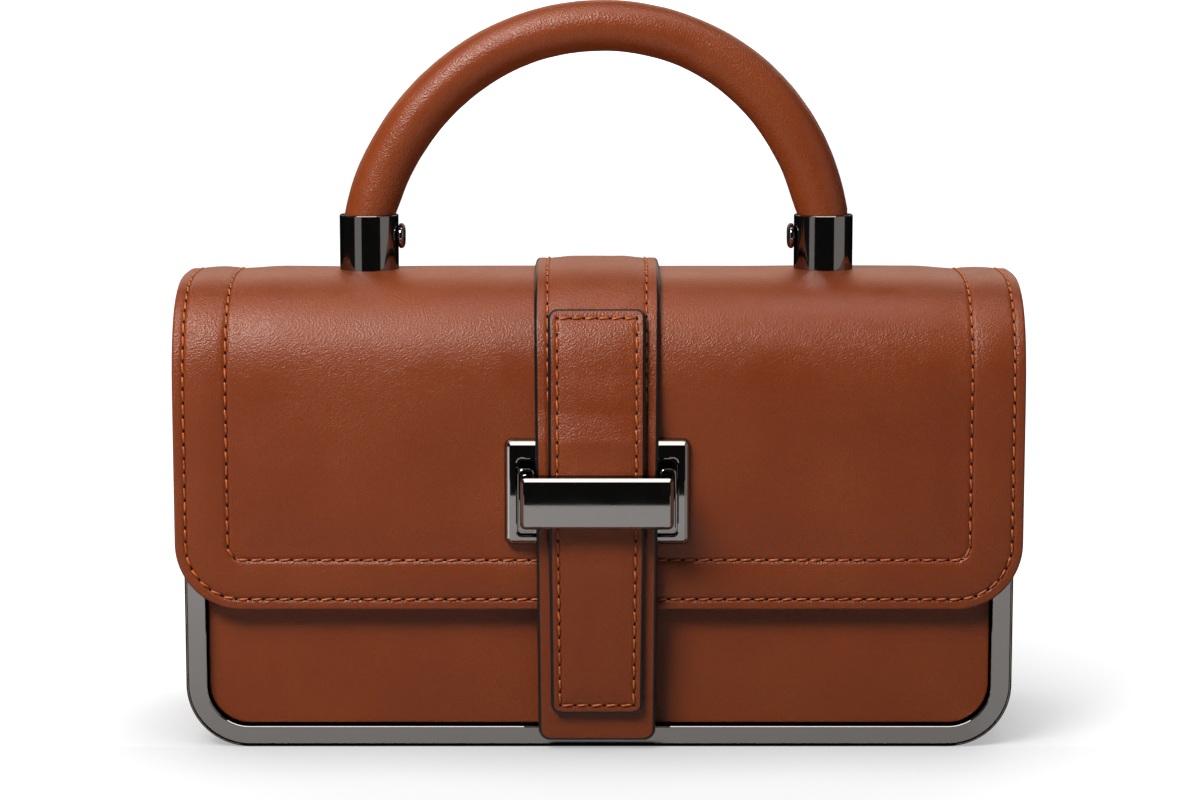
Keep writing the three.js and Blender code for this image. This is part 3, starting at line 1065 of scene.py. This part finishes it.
clasp = {
    "plate": {
        "half": 26.1, "low": 59.7, "high": 89.8, "corner": 2.0, **plateShape,
        "table": [
            (0.0, 3.0), (0.0, 2.5), (0.06, 2.05), (0.2, 1.6), (0.42, 1.18), (0.68, 0.85), (0.86, 0.66),
            (1.42, 0.12), (1.5, 0.03), (1.62, 0.0),
        ],
    },
    "pocket": {
        "half": 22.4, "low": 62.6, "high": 84.4, "corner": 1.2, **plateShape,
        "table": [(-0.5, 0.0), (-0.18, 0.035), (-0.05, 0.12), (0.0, 0.25), (0.0, 2.0)],
    },
    "bar": {
        "half": 21.35, "low": 66.2, "high": 80.8, "corner": 1.5, "front": -53.7, "middleX": -0.55,
        "table": [
            (0.7, 6.2), (0.2, 6.0), (0.0, 5.5), (0.0, 1.6), (0.03, 1.35), (0.1, 1.15), (0.18, 1.02),
            (0.92, 0.12), (1.0, 0.03), (1.12, 0.0),
        ],
    },
    "post": {"low": 64.5, "high": 82.5, "corner": 1.4, "front": -47.4},
    "postEdge": [(0.0, 0.4), (0.05, 0.26), (0.28, 0.05), (0.4, 0.0)],
    "postBack": -39.85,
    "postInner": 17.5,
    "postOuter": 22.1,
}


def loopsFrom(half, low, high, corner, front, table, middleX):
    # one loop for each (inset, depth) row of the table
    return [
        {
            "halfWidth": half - inset, "low": low + inset, "high": high - inset,
            "corner": max(corner - inset, 0.15), "depth": front + depth, "middleX": middleX,
        }
        for inset, depth in table
    ]


def buildClasp():
    c = clasp
    makeMetal("clasp_plate", loftedSolid(loopsFrom(**c["plate"]) + loopsFrom(**c["pocket"])), gunmetal)
    bm = loftedSolid(loopsFrom(**c["bar"]))
    table = [(0.0, c["postBack"] - c["post"]["front"])] + c["postEdge"]
    for side in (-1, 1):
        inner, outer = side * c["postInner"] + strapMiddle, side * c["postOuter"] + c["bar"]["middleX"]
        half, middle = abs(outer - inner) / 2, (inner + outer) / 2
        bm = loftedSolid(loopsFrom(half=half, middleX=middle, table=table, **c["post"]), bm)
    makeMetal("clasp_bar", bm, gunmetal)


buildClasp()
print("clasp made")


# Handle, ferrules and screws

handle = {
    "radius": 7.25,
    "bend": 67.0,
    "halfSpan": 66.0,
    "centre": 137.4,
    "foot": 136.6,
    "straight": 13,
    "seamDepth": 0.35,
    "seamWidth": 0.5,
    # hand-made: it stands a little left, leans right and is thickest inside its arms
    "middle": -0.8,
    "lean": 1.9,
    "swell": [(149.8, 0.35), (157.0, 0.9), (175.0, 1.15), (188.0, 0.95), (200.0, 0.45)],
}

ferrule = {
    "radius": 8.55,
    "bore": 7.75,
    "foot": 133.2,
    "height": 16.6,
    "floor": 3.0,
    "rim": 0.6,
    "screwHeight": 10.3,
    "headRadius": 3.7,
    "headBack": 57.4,
    "headThickness": 1.9,
    "socketRadius": 1.55,
    "socketDepth": 1.0,
    "shankRadius": 1.5,
    "shankLength": 3.5,
}


def buildHandle():
    h = handle
    bm = bmesh.new()
    ring = bmesh.ops.create_circle(bm, segments=48, radius=h["radius"] * mm)["verts"]
    bmesh.ops.translate(bm, verts=ring, vec=Vector((-h["halfSpan"], 0, h["foot"])) * mm)
    edges = bm.edges[:]
    spring = math.acos(h["halfSpan"] / h["bend"])
    rise = h["centre"] + h["bend"] * math.sin(spring) - h["foot"]
    edges = drawnLoop(bm, edges, delta=Vector((0, 0, rise)) * mm)
    first = [e for e in bm.edges if all(abs(v.co.z - h["foot"] * mm) < 1e-6 for v in e.verts)]
    centre = Vector((0, 0, h["centre"])) * mm
    edges = drawnLoop(bm, edges, centre=centre, angle=math.pi - 2 * spring, steps=170)
    last = drawnLoop(bm, edges, delta=Vector((0, 0, -rise)) * mm)
    bmesh.ops.contextual_create(bm, geom=first)
    bmesh.ops.contextual_create(bm, geom=last)
    bmesh.ops.recalc_face_normals(bm, faces=bm.faces[:])
    flat = []
    for v in bm.verts:
        spot = v.co / mm
        angle = math.atan2(spot.z - h["centre"], spot.x)
        straight = spot.z < h["centre"] + h["straight"]
        if straight:
            core = Vector((math.copysign(h["halfSpan"], spot.x), 0, spot.z))
        else:
            core = Vector((h["bend"] * math.cos(angle), 0, h["centre"] + h["bend"] * math.sin(angle)))
        out = (spot - core).normalized()
        inward = (Vector((0, 0, h["centre"])) - core).normalized()
        seam = out.angle(inward) * h["radius"]
        below = min(spot.z - h["centre"], 0.0) if straight else 0.0
        flat.append((math.copysign(seam, spot.y) * mm, ((math.pi - angle) * h["bend"] + below) * mm))
        swell = 0.10 * noise.noise(spot / 11) + 0.05 * noise.noise(spot / 4)
        swell -= h["seamDepth"] * bell(seam, h["seamWidth"])
        swell += between(core.z, h["swell"]) * (1 + out.dot(inward)) / 2
        if spot.z > ferrule["foot"] + ferrule["height"] - ferrule["rim"]:
            spot += out * swell
        spot.x += h["middle"] + h["lean"] * smooth(143, 208, spot.z)
        v.co = spot * mm
    mapGrain(bm, flat)
    makePiece("handle_leather", bm, [handleLeather], ["handle"])


def turnedPiece(profile, matrix, steps):
    # a profile of radius and height, from axis to axis, is spun round Z
    bm = bmesh.new()
    verts = [bm.verts.new((r * mm, 0, z * mm)) for r, z in profile]
    edges = [bm.edges.new(pair) for pair in zip(verts, verts[1:])]
    bmesh.ops.spin(
        bm, geom=verts + edges, cent=(0, 0, 0), axis=(0, 0, 1), angle=2 * math.pi, steps=steps, use_merge=True,
    )
    bmesh.ops.remove_doubles(bm, verts=bm.verts[:], dist=0.002 * mm)
    bmesh.ops.recalc_face_normals(bm, faces=bm.faces[:])
    bm.transform(matrix)
    return bm


def buildFerrules():
    f = ferrule
    foot, top = f["foot"], f["foot"] + f["height"]
    r, bore = f["radius"], f["bore"]
    profile = [
        (0, foot), (r - 0.5, foot), (r - 0.2, foot + 0.06), (r, foot + 0.35), (r, top - 0.42),
        (r - 0.06, top - 0.2), (r - 0.2, top - 0.06), (r - 0.36, top), (bore + 0.25, top), (bore + 0.08, top - 0.08),
        (bore, top - 0.3), (bore, foot + f["floor"]), (0, foot + f["floor"]),
    ]
    for word, side in (("left", -1), ("right", 1)):
        middle = Vector((side * handle["halfSpan"] + handle["middle"], 0, 0))
        makeMetal("ferrule_" + word, turnedPiece(profile, Matrix.Translation(middle * mm), 96), turnedGunmetal)


def buildScrews():
    f = ferrule
    rise = f["foot"] + f["screwHeight"]
    r, t = f["headRadius"], f["headThickness"]
    # heights run inwards from the head's back, so the face is at the top
    inner = f["socketRadius"]
    head = [
        (0, -f["shankLength"]), (f["shankRadius"], -f["shankLength"]), (f["shankRadius"], 0), (r - 0.75, 0),
        (r - 0.35, 0.1), (r - 0.1, 0.35), (r, 0.75), (r - 0.05, 1.05), (r - 0.25, 1.4), (r - 0.6, t - 0.22),
        (r - 1.05, t - 0.05), (r - 1.3, t), (inner + 0.25, t), (inner + 0.08, t - 0.06), (inner, t - 0.2),
        (inner, t - f["socketDepth"]), (0, t - f["socketDepth"] - 0.5),
    ]
    for word, side in (("left", -1), ("right", 1)):
        turn = Matrix.Rotation(-side * math.pi / 2, 4, "Y")
        middle = Vector((side * f["headBack"] + handle["middle"], 0, rise))
        makeMetal("screw_" + word, turnedPiece(head, Matrix.Translation(middle * mm) @ turn, 48), turnedGunmetal)


buildHandle()
buildFerrules()
buildScrews()
print("handle made")


# Studio: a white floor and white surroundings for the camera, soft boxes above
# and behind, cards that only reflections see, and a dark card in front that
# keeps the floor's bounce off the leather

studio = {
    "camera": (0.0003, -0.8985, 0.2215),
    "tilt": 8.0,
    "lens": 92.9,
    "world": 0.06,
    "reach": 3.0,
    # the floor's glow, lower near the object as painted shade, and the reach of its painted contact shade
    "floorShadeFade": (0.1, 0.24, 0.76, 1.04),
    "contactShadeReach": 0.05,
    "cardHalf": 0.3,
    "cardLift": 0.0004,
    "flagSide": 0.45,
    "flagHeight": 0.5,
    "sideCard": (0.31, 0.85, -0.13, -0.02),
    "floorColour": "#8c8c8c",
    "cardColour": "#c6c6c6",
    "cardNear": -0.0355,
    "flagDepth": -0.469,
    "stripGlow": 0.36,
    "backGlow": 1.35,
    "leftGlow": 1.25,
    "rightGlow": 0.45,
    # name, place, target, width, height, watts, rays that don't see it
    "boxes": [
        ("key_box", (-0.43, -0.68, 0.86), (0, 0, 0.1), 0.46, 0.3, 9.0, ()),
        ("front_fill", (-0.55, -0.76, 1.04), (0, 0, 0.08), 0.8, 0.6, 9.0, ("glossy",)),
        ("back_fill", (0.3, 1.3, 0.8), (0, 0, 0.1), 1.2, 0.5, 9.0, ("glossy",)),
        ("top_strip", (0.0, -0.13, 1.15), (0, -0.1, 0.05), 1.3, 0.42, 5.0, ("diffuse",)),
    ],
}


def stageMaterial(name, colour, strength=0.0, fade=None, glow="#ffffff"):
    material, tree = newMaterial(name)
    links = {}
    if fade:
        # the floor mostly glows on its own; painted shade: the glow is lower near the object and, by ambient
        # occlusion, in the corners beside it, for its shadow
        place = objectPlace(tree)
        away = addNode(tree, "ShaderNodeVectorMath", {"operation": "LENGTH"}, {0: place}).outputs["Value"]
        reach = {"samples": 12, "Distance": studio["contactShadeReach"]}
        corner = addNode(tree, "ShaderNodeAmbientOcclusion", reach).outputs["AO"]
        parts = {0: addRange(tree, away, *fade, "SMOOTHSTEP"), 1: addRange(tree, corner, 0.4, 0.97, 0.55, 1.0)}
        links["Emission Strength"] = addNode(tree, "ShaderNodeMath", {"operation": "MULTIPLY"}, parts).outputs[0]
    settings = {
        "Base Color": toLinear(colour), "Roughness": 1.0, "Emission Color": toLinear(glow),
        "Emission Strength": strength, "Specular IOR Level": 0.0,
    }
    finishMaterial(tree, settings, links)
    return material


def stagePiece(name, bm, material, rays):
    mesh = bpy.data.meshes.new(name)
    bm.to_mesh(mesh)
    bm.free()
    mesh.materials.append(material)
    piece = bpy.data.objects.new(name, mesh)
    bpy.context.scene.collection.objects.link(piece)
    for ray in ("camera", "diffuse", "glossy", "transmission", "shadow"):
        setattr(piece, "visible_" + ray, ray in rays)


def stagePlane(name, material, rays, low, high):
    # a flat card between two corners that share a depth, a side or a height
    bm = bmesh.new()
    bmesh.ops.create_grid(bm, x_segments=1, y_segments=1, size=1)
    middle, half = (Vector(low) + Vector(high)) / 2, (Vector(high) - Vector(low)) / 2
    turned = Matrix()
    if half.y == 0:
        turned = Matrix.Rotation(math.pi / 2, 4, "X")
    elif half.x == 0:
        turned = Matrix.Rotation(math.pi / 2, 4, "Y")
    bm.transform(Matrix.Translation(middle) @ Matrix.Diagonal((half.x or 1, half.y or 1, half.z or 1, 1)) @ turned)
    stagePiece(name, bm, material, rays)


def softBox(name, place, target, width, height, power, hidden):
    light = bpy.data.lights.new(name, "AREA")
    light.shape = "RECTANGLE"
    light.size, light.size_y = width, height
    light.energy = power
    lamp = bpy.data.objects.new(name, light)
    lamp.location = place
    lamp.rotation_euler = (Vector(target) - Vector(place)).to_track_quat("-Z", "Y").to_euler()
    bpy.context.scene.collection.objects.link(lamp)
    for ray in hidden:
        setattr(lamp, "visible_" + ray, False)


def buildStudio():
    s = studio
    r = s["reach"]
    near, far, half, lift = s["cardNear"], s["flagDepth"], s["cardHalf"], s["cardLift"]
    flag, top = s["flagSide"], s["flagHeight"]
    inner, outer, front, back = s["sideCard"]
    floorMade = stageMaterial("white_floor", s["floorColour"], fade=s["floorShadeFade"])
    stagePlane("floor", floorMade, ("camera", "diffuse", "transmission", "shadow"), (-r, -r, 0), (r, r, 0))
    bm = bmesh.new()
    bmesh.ops.create_uvsphere(bm, u_segments=32, v_segments=16, radius=r * 0.97)
    stagePiece("surround", bm, stageMaterial("white_surround", "#ffffff", 1.0), ("camera",))
    black = stageMaterial("black_flag", "#030303", 0.01)
    grey = stageMaterial("grey_card", s["cardColour"])
    # painted reflections: glowing cards that light nothing and are seen only by reflections
    strip = stageMaterial("lit_strip", "#030303", s["stripGlow"])
    behind = stageMaterial("lit_back", "#030303", s["backGlow"], glow="#ffdac4")
    leftGlow = stageMaterial("lit_left", "#030303", s["leftGlow"])
    rightGlow = stageMaterial("lit_right", "#030303", s["rightGlow"])
    stagePlane("dark_card", black, ("diffuse",), (-half, far, lift), (half, near, lift))
    # painted reflections: each card below is seen only in reflections, dark, grey or glowing, and lights or shades
    # nothing
    for name, material, low, high in (
        ("dark_floor", black, (-r, -r, -lift), (r, r, -lift)),
        ("grey_card", grey, (-half, far, lift), (half, near, lift)),
        ("left_card", leftGlow, (-outer, front, lift), (-inner, back, lift)),
        ("right_card", rightGlow, (inner, front, lift), (outer, back, lift)),
        ("front_flag", black, (-half, far, 0), (flag, far, top)),
        ("left_strip", strip, (-0.72, far, 0), (-half, far, top)),
        ("right_strip", strip, (flag, far, 0), (flag, back, top)),
        ("back_card", behind, (-0.8, 0.9, 0.3), (0.8, 0.9, 1.0)),
    ):
        stagePlane(name, material, ("glossy",), low, high)
    world = bpy.data.worlds.new("studio")
    bpy.context.scene.world = world
    world.use_nodes = True
    background = world.node_tree.nodes["Background"]
    background.inputs["Color"].default_value = toLinear("#f7f8fa")
    background.inputs["Strength"].default_value = s["world"]
    for box in s["boxes"]:
        softBox(*box)
    view = bpy.data.cameras.new("camera")
    view.lens = s["lens"]
    view.sensor_width = 36.0
    camera = bpy.data.objects.new("camera", view)
    camera.location = s["camera"]
    camera.rotation_euler = (math.radians(90 - s["tilt"]), 0, 0)
    bpy.context.scene.collection.objects.link(camera)
    bpy.context.scene.camera = camera
    bpy.context.scene.view_settings.view_transform = "Standard"


buildStudio()
print("studio made")
